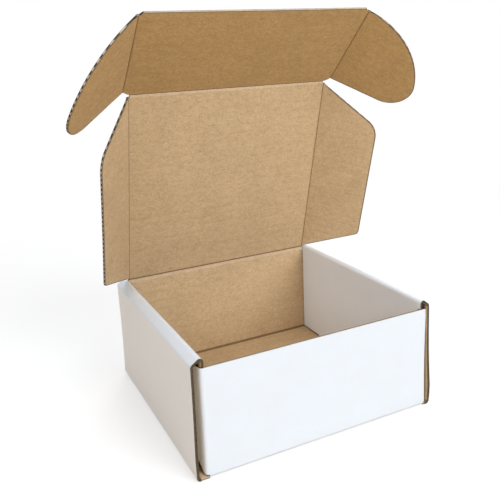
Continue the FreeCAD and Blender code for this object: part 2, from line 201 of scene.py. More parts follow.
class PanelFrame:
    """A flat panel's own frame: e away from a crease or across, s along the sheet, n to the kraft side."""

    def __init__(self, origin, e, s, n):
        self.origin, self.e, self.s, self.n = vector(origin), unit(e), unit(s), unit(n)

    def at(self, e, s, n):
        e, s, n = (np.asarray(value, float)[..., None] for value in np.broadcast_arrays(e, s, n))
        return self.origin + e * self.e + s * self.s + n * self.n


def folded_frame(joint, side, along, inward):
    """The frame of a flap that stands folded by its rest angle from a panel's side."""
    fold = -math.radians(joints[joint]["range_deg"][0])
    out = RIGHT * side
    e = math.cos(fold) * out + math.sin(fold) * inward
    n = math.cos(fold) * inward - math.sin(fold) * out
    return PanelFrame(joints[joint]["pos_m"], e, along, n)


SIDES = {"left": -1, "right": 1}
lid_frame = PanelFrame(hinge_point, RIGHT, lid_up, lid_in)
tuck_frame = PanelFrame(tuck_point, RIGHT, tuck_up, tuck_in)
flap_frames = {
    name: folded_frame(f"side_flap_{name}_fold", side, lid_up, lid_in) for name, side in SIDES.items()}
ear_frames = {name: folded_frame(f"ear_{name}_fold", side, tuck_up, tuck_in) for name, side in SIDES.items()}


def value_node(tree, kind, **inputs):
    node = tree.nodes.new(kind)
    for name, content in inputs.items():
        node.inputs[name.replace("_", " ")].default_value = content
    return node


def ramp_node(tree, source, stops):
    """A colour ramp between two stops, each a position and a colour."""
    node = tree.nodes.new("ShaderNodeValToRGB")
    for element, (position, color) in zip(node.color_ramp.elements, stops):
        element.position, element.color = position, (*color, 1)
    tree.links.new(source, node.inputs["Fac"])
    return node.outputs["Color"]


def stretched_noise(tree, coords, across, along, detail, seed):
    """Noise in sheet coordinates, whose marks are that long across the flutes' run and along it."""
    mapping = tree.nodes.new("ShaderNodeMapping")
    mapping.inputs["Scale"].default_value = (1 / along, 1 / across, 1)
    mapping.inputs["Location"].default_value = (seed, seed * 0.7, seed)
    tree.links.new(coords, mapping.inputs["Vector"])
    node = value_node(tree, "ShaderNodeTexNoise", Scale=1.0, Detail=detail, Roughness=0.6)
    tree.links.new(mapping.outputs["Vector"], node.inputs["Vector"])
    return node.outputs["Fac"]


def multiply_color(tree, color, factor_color):
    node = tree.nodes.new("ShaderNodeMix")
    node.data_type, node.blend_type = "RGBA", "MULTIPLY"
    node.inputs["Factor"].default_value = 1.0
    tree.links.new(color, node.inputs["A"])
    tree.links.new(factor_color, node.inputs["B"])
    return node.outputs["Result"]


def add_values(tree, first, second, weight):
    """The first value plus the second one's share by weight."""
    node = tree.nodes.new("ShaderNodeMath")
    node.operation = "MULTIPLY_ADD"
    node.inputs[1].default_value = weight
    tree.links.new(second, node.inputs[0])
    tree.links.new(first, node.inputs[2])
    return node.outputs["Value"]


def flute_stripes(tree, coords):
    """A soft stripe on every other flute, wandering a little along its run."""
    mapping = tree.nodes.new("ShaderNodeMapping")
    mapping.inputs["Scale"].default_value = (STRIPE_STRETCH / FLUTE_PITCH, 1 / FLUTE_PITCH, 1)
    tree.links.new(coords, mapping.inputs["Vector"])
    wave = value_node(
        tree, "ShaderNodeTexWave", Scale=STRIPE_SCALE, Distortion=1.2, Detail=2.0, Detail_Scale=0.7)
    wave.bands_direction = "Y"
    tree.links.new(mapping.outputs["Vector"], wave.inputs["Vector"])
    return wave.outputs["Fac"]


def sheet_material(name, roughness, specular):
    """A new material, its shader and the places on the unfolded sheet."""
    material = bpy.data.materials.new(name)
    material.use_nodes = True
    shader = material.node_tree.nodes["Principled BSDF"]
    shader.inputs["Roughness"].default_value = roughness
    shader.inputs["Specular IOR Level"].default_value = specular
    uv = material.node_tree.nodes.new("ShaderNodeUVMap")
    uv.uv_map = "sheet"
    return material, shader, uv.outputs["UV"]


def add_bump(tree, shader, height, strength):
    bump = value_node(tree, "ShaderNodeBump", Strength=strength, Distance=BUMP_DEPTH)
    tree.links.new(height, bump.inputs["Height"])
    tree.links.new(bump.outputs["Normal"], shader.inputs["Normal"])


def paper_material(name, base, shades, roughness, sheen, grain, flute_depth, specular):
    """Paper liner: its marks in their shades over the base colour, and the flutes showing through."""
    material, shader, coords = sheet_material(name, roughness, specular)
    shader.inputs["Sheen Weight"].default_value = sheen
    shader.inputs["Sheen Roughness"].default_value = 0.6
    tree = material.node_tree
    marks = {kind: stretched_noise(tree, coords, *mark) for kind, mark in MARKS.items()}
    marks["stripes"] = flute_stripes(tree, coords)
    color, tone = None, base
    for kind, (dark, light) in shades.items():
        low, high = MARK_RANGES.get(kind, NOISE_RANGE)
        deep = [part * dark**power for part, power in zip(tone, SHADE_POWERS)]
        pale = [part * light for part in tone]
        shade = ramp_node(tree, marks[kind], [(low, deep), (high, pale)])
        color = multiply_color(tree, color, shade) if color else shade
        tone = (1.0, 1.0, 1.0)
    tree.links.new(color, shader.inputs["Base Color"])
    height = add_values(tree, stretched_noise(tree, coords, *FINE_MARK), marks["stripes"], flute_depth)
    add_bump(tree, shader, add_values(tree, height, marks["blotches"], BLOTCH_DEPTH), grain)
    return material


def plain_paper(name, dark, light):
    """Raw paper seen at cut edges and between the liners, fuzzy from fibre ends."""
    material, shader, coords = sheet_material(name, roughness=0.9, specular=0.15)
    tree = material.node_tree
    fuzz = stretched_noise(tree, coords, *FUZZ_MARK)
    color = ramp_node(tree, fuzz, [(NOISE_RANGE[0], dark), (NOISE_RANGE[1], light)])
    tree.links.new(color, shader.inputs["Base Color"])
    add_bump(tree, shader, fuzz, strength=0.4)
    return material


KRAFT_SHADES = {
    "clouds": (0.95, 1.03), "blotches": (0.90, 1.05), "grains": (0.81, 1.10), "flecks": (0.79, 1.0),
    "stripes": (0.975, 1.0),
}
WHITE_SHADES = {
    "clouds": (0.985, 1.0), "blotches": (0.995, 1.0), "grains": (0.985, 1.0), "flecks": (0.985, 1.0),
    "stripes": (1.0, 1.0),
}
KRAFT_FINISH = dict(
    shades=KRAFT_SHADES, roughness=0.78, sheen=0.05, grain=0.5, flute_depth=0.25, specular=0.25)
WHITE_FINISH = dict(
    shades=WHITE_SHADES, roughness=0.5, sheen=0.0, grain=0.08, flute_depth=0.05, specular=0.4)
CREASED_FINISH = {**KRAFT_FINISH, "roughness": 0.8, "grain": 0.4, "flute_depth": 0.0, "specular": 0.2}
PAINTED_HIGHLIGHT_FINISH = {**KRAFT_FINISH, "roughness": 0.75, "grain": 0.3, "flute_depth": 0.0}
KRAFT = paper_material("kraft_liner", (0.622, 0.45, 0.264), **KRAFT_FINISH)
# The same kraft liner, darker and warmer, for the tuck flap, its ears and their creases: painted shade and
# painted warm bounce light.
PAINTED_SHADE_KRAFT = paper_material("kraft_liner_tuck_painted_shade", (0.535, 0.34, 0.145), **KRAFT_FINISH)
WHITE = paper_material("white_coated_liner", (0.78, 0.825, 0.885), **WHITE_FINISH)
# The same white liner, warmer, on the outer side walls: painted warm reflected light.
WALL_PAINTED_WARM_LIGHT = paper_material("white_liner_side_walls_painted_warm_light", (0.848, 0.812, 0.785), **WHITE_FINISH)
# Dark kraft: the lines of the scored creases, and painted shade in the tray's folds, at the end walls' feet,
# under the inner panels and on the far sides of the lid's folds.
CREASE_AND_PAINTED_SHADE = paper_material("kraft_crease_and_painted_shade", (0.27, 0.165, 0.08), **CREASED_FINISH)
# Dark kraft along the cut sides: the pressed paper, and painted shade on the lower edges.
PRESSED_RIM_AND_PAINTED_SHADE = paper_material("kraft_pressed_rim_and_painted_shade", (0.24, 0.16, 0.09), **CREASED_FINISH)
# Lighter kraft along the beads of the lid's hinge and tuck fold: painted highlight.
PAINTED_HIGHLIGHT_KRAFT = paper_material("kraft_fold_painted_highlight", (0.70, 0.535, 0.36), **PAINTED_HIGHLIGHT_FINISH)
# Near-black paper inside the board, the fluted sheet and the liners' inner faces: painted shade in the flute
# tunnels.
CORE_PAINTED_SHADE = plain_paper("flute_tunnels_painted_shade", (0.025, 0.018, 0.012), (0.06, 0.043, 0.028))
EDGE = plain_paper("liner_cut_edge", (0.15, 0.118, 0.082), (0.27, 0.215, 0.155))
CRUSHED = plain_paper("crushed_flute_ends", (0.42, 0.34, 0.24), (0.60, 0.50, 0.37))
# Near-black raw board for the cut sides of the tray's side walls and corner tabs: painted shade on the cut
# edges.
RAW_EDGE_PAINTED_SHADE = plain_paper("raw_board_edge_painted_shade", (0.07, 0.052, 0.033), (0.15, 0.115, 0.075))
PALETTE = [WHITE, WALL_PAINTED_WARM_LIGHT, KRAFT, PAINTED_SHADE_KRAFT, CREASE_AND_PAINTED_SHADE, PAINTED_HIGHLIGHT_KRAFT, CORE_PAINTED_SHADE, EDGE, CRUSHED, RAW_EDGE_PAINTED_SHADE, PRESSED_RIM_AND_PAINTED_SHADE]
WHITE_SIDE, WALL_PAINTED_WARM_LIGHT_SIDE, KRAFT_SIDE, PAINTED_SHADE_KRAFT_SIDE, CREASE_AND_PAINTED_SHADE_SIDE = range(5)
PAINTED_HIGHLIGHT_SIDE, CORE_PAINTED_SHADE_SIDE, EDGE_SIDE, CRUSHED_SIDE, RAW_EDGE_PAINTED_SHADE_SIDE, PRESSED_RIM_AND_SHADE_SIDE = range(5, 11)
PAINTED_SHADE_RIMS, PALE_RIMS = (RAW_EDGE_PAINTED_SHADE_SIDE, RAW_EDGE_PAINTED_SHADE_SIDE), (CRUSHED_SIDE, CRUSHED_SIDE)


class Sheet:
    """Collects slabs of paper into one mesh, with each point's place on the unfolded sheet."""

    def __init__(self):
        self.points, self.places, self.faces, self.kinds = [], [], [], []
        self.count = 0

    def slab(self, low, high, places, kinds, mask=None):
        """A closed slab between two point grids, where the mask says.

        kinds are the materials of its low, high and cut sides, each for all or by cell."""
        rows, columns = low.shape[:2]
        mask = np.ones((rows - 1, columns - 1), bool) if mask is None else mask
        base_low, base_high = self.count, self.count + rows * columns
        self.points += [low.reshape(-1, 3), high.reshape(-1, 3)]
        flat = places.reshape(-1, 2)
        self.places += [flat, flat]
        self.count += 2 * rows * columns
        number = np.arange(rows * columns).reshape(rows, columns)
        corner = [number[:-1, :-1], number[1:, :-1], number[1:, 1:], number[:-1, 1:]]
        quads = np.stack([part[mask] for part in corner], axis=1)
        low_kind, high_kind, side_kind = (np.broadcast_to(kind, mask.shape) for kind in kinds)
        self.add_faces(quads[:, ::-1] + base_low, low_kind[mask])
        self.add_faces(quads + base_high, high_kind[mask])
        padded = np.pad(mask, 1)
        for first, second, neighbour in (
            (corner[0], corner[1], padded[1:-1, :-2]),
            (corner[1], corner[2], padded[2:, 1:-1]),
            (corner[2], corner[3], padded[1:-1, 2:]),
            (corner[3], corner[0], padded[:-2, 1:-1]),
        ):
            rim = mask & ~neighbour
            a, b = first[rim], second[rim]
            sides = np.stack([a + base_low, b + base_low, b + base_high, a + base_high], axis=1)
            self.add_faces(sides, side_kind[rim])

    def add_faces(self, quads, kinds):
        self.faces.append(quads)
        self.kinds.append(kinds)

    def build(self, name):
        points, places = np.concatenate(self.points), np.concatenate(self.places)
        faces, kinds = np.concatenate(self.faces), np.concatenate(self.kinds)
        used, faces = np.unique(faces, return_inverse=True)
        points, places = points[used], places[used]
        faces = faces.reshape(-1, 4)
        mesh = bpy.data.meshes.new(name)
        mesh.from_pydata(points.tolist(), [], faces.tolist())
        for material in PALETTE:
            mesh.materials.append(material)
        mesh.polygons.foreach_set("material_index", kinds.astype(np.int32))
        mesh.polygons.foreach_set("use_smooth", np.ones(len(faces), bool))
        layer = mesh.uv_layers.new(name="sheet")
        layer.data.foreach_set("uv", places[faces.reshape(-1)].astype(np.float32).reshape(-1))
        mesh.update()
        mesh.set_sharp_from_angle(angle=SHARP_ANGLE)
        piece = bpy.data.objects.new(name, mesh)
        bpy.context.scene.collection.objects.link(piece)
        return piece


def bow(e, s, reach, length, amount, seed):
    """A gentle bend of a panel, nothing along its creases, with a little unevenness."""
    across = np.clip(s / length, 0, 1)
    dome = np.sin(np.pi * across) * np.clip(1 - (e / reach) ** 2 * BOW_FADE, 0, 1)
    ripple = np.sin(e / RIPPLE_LENGTHS[0] + seed) * np.sin(s / RIPPLE_LENGTHS[1] + seed * RIPPLE_TURN)
    return amount * dome + RIPPLE * ripple * np.sin(np.pi * across)


def merged(rows):
    """The rows in order, without any that nearly coincide."""
    return np.unique(np.round(np.array(rows) / ROW_GRAIN)) * ROW_GRAIN


def flute_rows(low, high, extra=()):
    """Rows along the sheet: a few to each flute, and the extra ones that an outline's corners need."""
    step = FLUTE_PITCH / SAMPLES_PER_FLUTE
    inner = np.arange(math.ceil(low / step + ROW_MARGIN), math.floor(high / step - ROW_MARGIN) + 1) * step
    return merged([low, *inner, high, *(row for row in extra if low < row < high)])


def between(low, high, columns):
    """Evenly spaced places from low to high at each row."""
    share = np.linspace(0, 1, columns)[None, :]
    return low[:, None] * (1 - share) + high[:, None] * share


def spread(rows, low, high, columns, cut):
    """Places across a panel at each row, with a narrow rim along each cut side."""
    slant = np.hypot(1, np.gradient(high - low, rows))
    rim = np.minimum(RIM * slant, (high - low) * RIM_SHARE)
    e = between(low + rim * cut[0], high - rim * cut[1], columns)
    return np.concatenate([low[:, None]] * cut[0] + [e] + [high[:, None]] * cut[1], axis=1)


def on_rim(s, columns, cut, low_reach, high_reach):
    """Which places of a grid lie along the cut sides: low e, high e, low s, high s."""
    rim = np.zeros((len(s), columns), bool)
    rim[:, 0] |= bool(cut[0])
    rim[:, -1] |= bool(cut[1])
    rim[s < s[0] + low_reach] |= bool(cut[2])
    rim[s > s[-1] - high_reach] |= bool(cut[3])
    return rim


class Board:
    """A flat panel of board on its way to a mesh: its rows, its two sides at each row, and how it bends."""

    def __init__(self, frame_of, rows, edges, sheet_place, bend):
        self.sheet, self.frame_of, self.rows = Sheet(), frame_of, rows
        self.low, self.high = (edge(rows) for edge in edges)
        self.sheet_place, self.bend = sheet_place, bend

    def slab(self, e, s, low, high, kinds, mask=None):
        """A slab between two heights over the panel's bent middle."""
        places = np.stack([e + self.sheet_place[0], s + self.sheet_place[1]], axis=-1)
        warp = self.bend(e, s)
        points = (self.frame_of.at(e, s, warp + height) for height in (low, high))
        self.sheet.slab(*points, places, kinds, mask)

    def repeated(self, columns):
        return np.repeat(self.rows[:, None], columns, axis=1)


def add_liners(board, columns, tone, cut):
    """The two liners, with the flutes showing through, pressed together along the cut sides."""
    e = spread(board.rows, board.low, board.high, columns, cut[:2])
    s = board.repeated(e.shape[1])
    wash = WASHBOARD * (1 - np.cos(2 * np.pi * s / FLUTE_PITCH))
    face = HALF - wash - CRUSH * on_rim(board.rows, e.shape[1], cut, RIM / 2, RIM / 2)
    middles = (board.rows[:-1] + board.rows[1:]) / 2
    # Dark rims along the cut sides: the pressed paper, and painted shade that widens them along the low cut
    # end.
    rim = on_rim(middles, e.shape[1] - 1, cut, SHADED_LOW_RIM, HIGH_RIM)
    kinds = np.where(rim, PRESSED_RIM_AND_SHADE_SIDE, tone(middles)[:, None])
    ends = np.full((len(middles), 1), EDGE_SIDE)
    for row, is_cut in ((0, cut[2]), (-1, cut[3])):
        if is_cut:
            ends[row] = CRUSHED_SIDE
    board.slab(e, s, -face, LINER - face, (WHITE_SIDE, CORE_PAINTED_SHADE_SIDE, ends))
    board.slab(e, s, face - LINER, face, (CORE_PAINTED_SHADE_SIDE, kinds, ends))


def add_flutes(board, columns):
    """The wavy middle sheet, a little behind the cut edges, near-black as painted shade in the flute
    tunnels.
    """
    inner = np.minimum(board.low + CORE_SETBACK, (board.low + board.high) / 2)
    outer = np.maximum(board.high - CORE_SETBACK, inner)
    s = board.repeated(columns)
    wave = FLUTE_SWING * np.cos(2 * np.pi * s / FLUTE_PITCH)
    wide = (outer - inner > CORE_SETBACK)[:, None]
    mask = np.repeat(wide[:-1] & wide[1:], columns - 1, axis=1)
    board.slab(
        between(inner, outer, columns), s, wave - FLUTE_PAPER / 2, wave + FLUTE_PAPER / 2,
        (CORE_PAINTED_SHADE_SIDE, CORE_PAINTED_SHADE_SIDE, CORE_PAINTED_SHADE_SIDE), mask)


def add_crushed_ends(board, side):
    """Where the die crossed a flute's crest its paper is pressed flat between the liners, once a pitch."""
    edge, inward = (board.high, -1) if side else (board.low, 1)
    depth = np.minimum(CRUSHED_DEPTH, (board.high - board.low) * CRUSHED_WIDTH_SHARE)
    e = np.sort(edge[:, None] + inward * depth[:, None] * np.array([CRUSHED_INSET, 1.0]), axis=1)
    middle = (board.rows[:-1] + board.rows[1:]) / 2 / FLUTE_PITCH
    closed = (middle - np.floor(middle) < CRUSHED_SHARE)[:, None]
    board.slab(
        e, board.repeated(2), CRUSH - HALF, HALF - CRUSH, (CRUSHED_SIDE, CRUSHED_SIDE, CRUSHED_SIDE), closed)


def add_closed_end(board, row, inward):
    """Along a cut that follows the flutes, the paper between the liners is pressed flat all the way."""
    s, e = np.meshgrid(
        np.sort(board.rows[row] + inward * CRUSHED_DEPTH * np.array([CRUSHED_INSET, 1.0])),
        np.linspace(board.low[row] + CORE_SETBACK, board.high[row] - CORE_SETBACK, WIDE_COLUMNS),
        indexing="ij")
    board.slab(e, s, CRUSH - HALF, HALF - CRUSH, (CRUSHED_SIDE, CRUSHED_SIDE, CRUSHED_SIDE))


def panel(name, frame_of, rows, edges, columns, sheet_place, bend, tone, cut):
    """A flat panel of fluted board.

    edges gives its two sides at each row, tone its kraft side's material there, and cut which sides are
    cut: low e, high e, low s, high s."""
    extra = [row for row, is_cut in ((rows[0] + RIM, cut[2]), (rows[-1] - RIM, cut[3])) if is_cut]
    board = Board(frame_of, merged([*rows, *extra]), edges, sheet_place, bend)
    add_liners(board, columns, tone, cut)
    add_flutes(board, columns)
    for side in (0, 1):
        if cut[side]:
            add_crushed_ends(board, side)
    for row, inward, is_cut in ((0, 1, cut[2]), (-1, -1, cut[3])):
        if is_cut:
            add_closed_end(board, row, inward)
    return board.sheet.build(name)


def arc_points(centre, radius, start, stop, count):
    """Points (e, s) on an arc, by angles from the e direction."""
    return [
        (centre[0] + radius * math.cos(a), centre[1] + radius * math.sin(a))
        for a in np.linspace(start, stop, count)
    ]


def rounded_corner(before, corner, after, radius):
    """The arc that rounds an outline's corner."""
    before, corner, after = (np.array(point) for point in (before, corner, after))
    one, two = unit(before - corner), unit(after - corner)
    half = math.acos(np.clip(one @ two, -1, 1)) / 2
    centre = corner + unit(one + two) * radius / math.sin(half)
    first = corner + one * radius / math.tan(half) - centre
    last = corner + two * radius / math.tan(half) - centre
    start = math.atan2(first[1], first[0])
    sweep = (math.atan2(last[1], last[0]) - start + math.pi) % (2 * math.pi) - math.pi
    return arc_points(centre, radius, start, start + sweep, CORNER_POINTS)


def flap_outline():
    corners = [(0, FLAP_END), (FLAP_REACH, FLAP_LOW), (FLAP_REACH, FLAP_HIGH), (0, LID_LENGTH - FLAP_END)]
    low = rounded_corner(*corners[:3], FLAP_LOW_RADIUS)
    high = rounded_corner(*corners[1:], FLAP_HIGH_RADIUS)
    return [corners[0], *low, *high, corners[-1]]


def ear_outline():
    """An ear's tip arc, and the long arc that leaves it at a tangent and ends at its crease's far end."""
    tip = np.array([EAR_REACH - EAR_TIP, EAR_TIP])
    far = np.array([0.0, EAR_LENGTH])
    apart = np.linalg.norm(tip - far)
    along = (EAR_SWEEP**2 - (EAR_SWEEP - EAR_TIP) ** 2 + apart**2) / (2 * apart)
    way = (tip - far) / apart
    centre = far + way * along + np.array([way[1], -way[0]]) * math.sqrt(EAR_SWEEP**2 - along**2)
    to_tip, to_far = tip - centre, far - centre
    touch = math.atan2(to_tip[1], to_tip[0])
    end = math.atan2(to_far[1], to_far[0])
    return [
        *arc_points(tip, EAR_TIP, -math.pi / 2, touch, TIP_POINTS),
        *arc_points(centre, EAR_SWEEP, touch, end, SWEEP_POINTS)[1:],
    ]


def outline_edge(outline):
    """The outline's distance from the crease as a function of the place along it."""
    s = np.array([point[1] for point in outline])
    e = np.array([point[0] for point in outline])
    return lambda rows: np.interp(rows, s, e)


def constant(amount):
    return lambda rows: np.full(len(rows), float(amount))


def lid_tone(rows):
    """The lid's kraft side: painted shade just above the hinge, and a band of painted highlight where the
    tuck begins.
    """
    tones = np.full(len(rows), KRAFT_SIDE)
    tones[rows < CREASE_EDGE + PAINTED_SHADE_BAND] = CREASE_AND_PAINTED_SHADE_SIDE
    tones[rows > LID_LENGTH - CREASE_EDGE - PAINTED_HIGHLIGHT_BAND] = PAINTED_HIGHLIGHT_SIDE
    return tones


def build_lid():
    rows = flute_rows(CREASE_EDGE, LID_LENGTH - CREASE_EDGE)
    piece = panel(
        "lid_board", lid_frame, rows, (constant(-LID_X), constant(LID_X)), WIDE_COLUMNS, (0, 0),
        lambda e, s: bow(e, s, LID_X, LID_LENGTH, LID_BOW, seed=1.0), lid_tone, (0, 0, 0, 0))
    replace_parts(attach(piece, "lid"), "lid_panel")


def build_side_flap(name, side):
    outline = flap_outline()
    curl, wave = FLAP_CURL
    ends = FLAP_END + FLAP_BLUNT, LID_LENGTH - FLAP_END - FLAP_BLUNT
    rows = flute_rows(*ends, [point[1] for point in outline])
    piece = panel(
        f"side_flap_{name}_board", flap_frames[name], rows, (constant(CREASE_EDGE), outline_edge(outline)),
        FLAP_COLUMNS, (side * FLAP_PLACE, FLAP_PLACE_ALONG),
        lambda e, s: e * e / FLAP_REACH**2 * curl * np.sin(s / wave), constant(KRAFT_SIDE), (0, 1, 0, 0))
    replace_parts(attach(piece, f"side_flap_{name}"), f"lid_side_flap_{name}")


def build_tuck():
    far = TUCK_LENGTH - EAR_INSET
    rows = flute_rows(CREASE_EDGE, TUCK_LENGTH, [EAR_NOTCH, far])

    def widen(s):
        return np.interp(s, [0, EAR_NOTCH, far, TUCK_LENGTH], [LID_X, TUCK_X, TUCK_X, TUCK_X - EAR_INSET])

    # Its kraft side is the darker kraft copy: painted shade.
    piece = panel(
        "tuck_flap_board", tuck_frame, rows, (lambda s: -widen(s), widen), WIDE_COLUMNS, (0, LID_LENGTH),
        lambda e, s: bow(e, s, TUCK_X, TUCK_LENGTH * TUCK_BOW_LENGTH, TUCK_BOW, seed=4.0),
        constant(PAINTED_SHADE_KRAFT_SIDE), (0, 0, 0, 1))
    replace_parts(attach(piece, "tuck"), "tuck_flap")


def build_ear(name, side):
    outline = ear_outline()
    curl, wave = EAR_CURL
    rows = flute_rows(0, EAR_LENGTH - EAR_BLUNT, [point[1] for point in outline])
    # Its kraft side is the darker kraft copy: painted shade.
    piece = panel(
        f"ear_{name}_board", ear_frames[name], rows, (constant(CREASE_EDGE), outline_edge(outline)),
        EAR_COLUMNS, (side * EAR_PLACE, LID_LENGTH),
        lambda e, s: e * e / EAR_REACH**2 * curl * np.cos(s / wave), constant(PAINTED_SHADE_KRAFT_SIDE), (0, 1, 1, 0))
    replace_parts(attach(piece, f"ear_{name}"), f"tuck_ear_{name}")


def turned_arms(start, stop, count):
    """Directions spread evenly from one to another."""
    angle = math.acos(np.clip(start @ stop, -1, 1))
    if angle < 1e-4:
        return [start] * count
    return [
        (math.sin((1 - share) * angle) * start + math.sin(share * angle) * stop) / math.sin(angle)
        for share in np.linspace(0, 1, count)
    ]


def resample(points, count):
    """The same polyline with evenly spaced points."""
    points = np.array(points)
    gone = np.concatenate([[0], np.cumsum(np.linalg.norm(np.diff(points, axis=0), axis=1))])
    want = np.linspace(0, gone[-1], count)
    return np.stack([np.interp(want, gone, points[:, k]) for k in range(3)], axis=1)


def crease_lines(first, second, reach, depth):
    """A crease's outer and inner lines across, from its pivot.

    first and second are each panel's direction away from the crease and its inward direction."""
    (to_first, first_in), (to_second, second_in) = first, second
    outer = [
        to_first * reach - first_in * HALF,
        *(arm * HALF for arm in turned_arms(-first_in, -second_in, CREASE_ARMS)),
        to_second * reach - second_in * HALF,
    ]
    lip = HALF - depth * LIP_SHARE
    inner = [
        to_first * reach + first_in * HALF,
        to_first * CREASE_LIP + first_in * lip,
        unit(first_in + second_in) * (HALF - depth),
        to_second * CREASE_LIP + second_in * lip,
        to_second * reach + second_in * HALF,
    ]
    return resample(outer, CREASE_POINTS), resample(inner, CREASE_POINTS)


def build_crease(name, joint, panels, span, depth, faces):
    """The paper that bends between two panels, from the first panel's edge to the second's."""
    pivot = vector(joints[joint]["pos_m"])
    axis = unit(joints[joint]["axis"])
    reach = CREASE_EDGE + CREASE_LAP
    along = np.linspace(span[0], span[1], CREASE_STEPS)
    low, high = (
        pivot + line[:, None, :] + along[None, :, None] * axis
        for line in crease_lines(*panels, reach, depth))
    across = np.linspace(-reach, reach, CREASE_POINTS)
    flat = np.stack(np.broadcast_arrays(along[None, :], across[:, None]), axis=-1)
    sheet = Sheet()
    sheet.slab(low, high, flat, (WHITE_SIDE, np.array(faces)[:, None], EDGE_SIDE))
    piece = sheet.build(name)
    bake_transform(piece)


def build_side_creases(name, side):
    """The creases of one side's flap and ear, with a dark line: the score, and painted shade in its groove.
    """
    out = RIGHT * side
    for joint, bodies, inward, flap, span, paper in (
        (f"side_flap_{name}", ("lid", f"side_flap_{name}"), lid_in, flap_frames[name],
         (FLAP_END, LID_LENGTH - FLAP_END), KRAFT_SIDE),
        (f"ear_{name}", ("tuck", f"ear_{name}"), tuck_in, ear_frames[name],
         (EAR_CREASE_START, EAR_LENGTH), PAINTED_SHADE_KRAFT_SIDE),
    ):
        build_crease(
            f"crease_{joint}", f"{joint}_fold", ((-out, inward), (flap.e, flap.n)),
            span if side < 0 else (-span[1], -span[0]), FLAP_GROOVE,
            [paper] * 2 + [CREASE_AND_PAINTED_SHADE_SIDE] * 4 + [paper] * 2)


def build_creases():
    down, back_wall_in = np.array([0, 0, -1.0]), np.array([0, -1.0, 0])
    # The hinge and the tuck fold: painted highlight over most of each fold's bead, and painted shade on its
    # far side.
    build_crease(
        "crease_lid_hinge", "lid_hinge", ((down, back_wall_in), (lid_up, lid_in)),
        (-HINGE_X, HINGE_X), HINGE_GROOVE, [PAINTED_HIGHLIGHT_SIDE] * 6 + [CREASE_AND_PAINTED_SHADE_SIDE] * 2)
    build_crease(
        "crease_tuck", "tuck_fold", ((-lid_up, lid_in), (tuck_up, tuck_in)),
        (-LID_X, LID_X), TUCK_GROOVE, [PAINTED_HIGHLIGHT_SIDE] * 5 + [CREASE_AND_PAINTED_SHADE_SIDE] * 3)
    for name, side in SIDES.items():
        build_side_creases(name, side)


class Path:
    """A folded strip's middle line in its plane: straight runs and round folds.

    kinds and faces are the materials of each step's inner and outer liner."""

    def __init__(self, start, heading):
        self.points, self.normals, self.lengths = [vector(start)], [], [0.0]
        self.heading = vector(heading)
        self.normals.append(self.left())
        self.kinds, self.faces, self.face = [], [], WHITE_SIDE

    def left(self):
        return np.array([-self.heading[1], self.heading[0]])

    def step_to(self, point, length, kind):
        self.points.append(point)
        self.normals.append(self.left())
        self.lengths.append(self.lengths[-1] + length)
        self.kinds.append(kind)
        self.faces.append(self.face)

    def run(self, length, kind=KRAFT_SIDE, step=GRID):
        count = max(1, math.ceil(length / step))
        for _ in range(count):
            self.step_to(self.points[-1] + self.heading * length / count, length / count, kind)
        return self

    def fold(self, radius, angle=math.pi / 2, count=10):
        """A round fold about a centre to the left. Its kraft side is dark: the fold's crease, and painted
        shade in it.
        """
        centre = self.points[-1] + self.left() * radius
        arm = self.points[-1] - centre
        heading = self.heading
        for step in range(1, count + 1):
            turned = angle * step / count
            spin = np.array([[math.cos(turned), -math.sin(turned)], [math.sin(turned), math.cos(turned)]])
            self.heading = spin @ heading
            self.step_to(centre + spin @ arm, radius * angle / count, CREASE_AND_PAINTED_SHADE_SIDE)
        return self

    def facing(self, face):
        """What the outer liner of the next runs and folds is made of."""
        self.face = face
        return self


def spaced(stops, step=GRID):
    """All the stops, with evenly spaced places between them."""
    stops = sorted(set(round(stop, 7) for stop in stops))
    places = [stops[0]]
    for low, high in zip(stops, stops[1:]):
        places += list(np.linspace(low, high, max(1, math.ceil((high - low) / step)) + 1)[1:])
    return np.array(places)


def rising(values, start, length):
    """0 up to the start, and 1 from a length after it."""
    return np.clip((values - start) / length, 0, 1)


def flare(x, y, z):
    """How far the outer side walls' front ends, and the rolls over them, stand out to the right."""
    top = rising(z, *FLARE_TOP)
    start, length = (low + more * top for low, more in FLARE_ACROSS)
    outer = rising(np.abs(x), HALF_WIDTH - start, length)
    return outer * rising(-y, *FLARE_FRONT) * np.where(
        x > 0, np.interp(z, *RIGHT_FLARE), -np.interp(z, *LEFT_FLARE))


def soften(points):
    """Small unevenness of hand-folded board, the same for all layers at one place."""
    x, y, z = points[..., 0], points[..., 1], points[..., 2]
    belly = BULGE * np.sin(np.pi * np.clip(z / TRAY_HEIGHT, 0, 1))
    waves_x, waves_y = (
        np.abs(np.sin(place / length + phase))
        for place, (length, phase) in ((x, WAVE_ALONG_X), (y, WAVE_ALONG_Y)))
    moved = points.copy()
    moved[..., 0] -= np.sign(x) * rising(np.abs(x), *BULGE_X) * belly * (1 + BULGE_WAVES * waves_y)
    moved[..., 1] -= np.sign(y) * rising(np.abs(y), *BULGE_Y) * belly * (1 + BULGE_WAVES * waves_x)
    moved[..., 0] += flare(x, y, z)
    return moved


def lifted(across, cut_away):
    """How far points rise where a strip's lower edge is cut away; the upper edge stays."""
    low, high = across.min(), across.max()
    return cut_away * (high - across) / (high - low)


def core_shifts(mask):
    """For each grid point, which way the core is pulled in: -1, 0 or 1 along the rows and the columns."""
    cells = np.pad(mask, 1).astype(int)
    before_low, before_high = cells[:-1, :-1], cells[:-1, 1:]
    after_low, after_high = cells[1:, :-1], cells[1:, 1:]
    rows = np.sign((after_low + after_high) - (before_low + before_high))
    columns = np.sign((before_high + after_high) - (before_low + after_low))
    return rows, columns


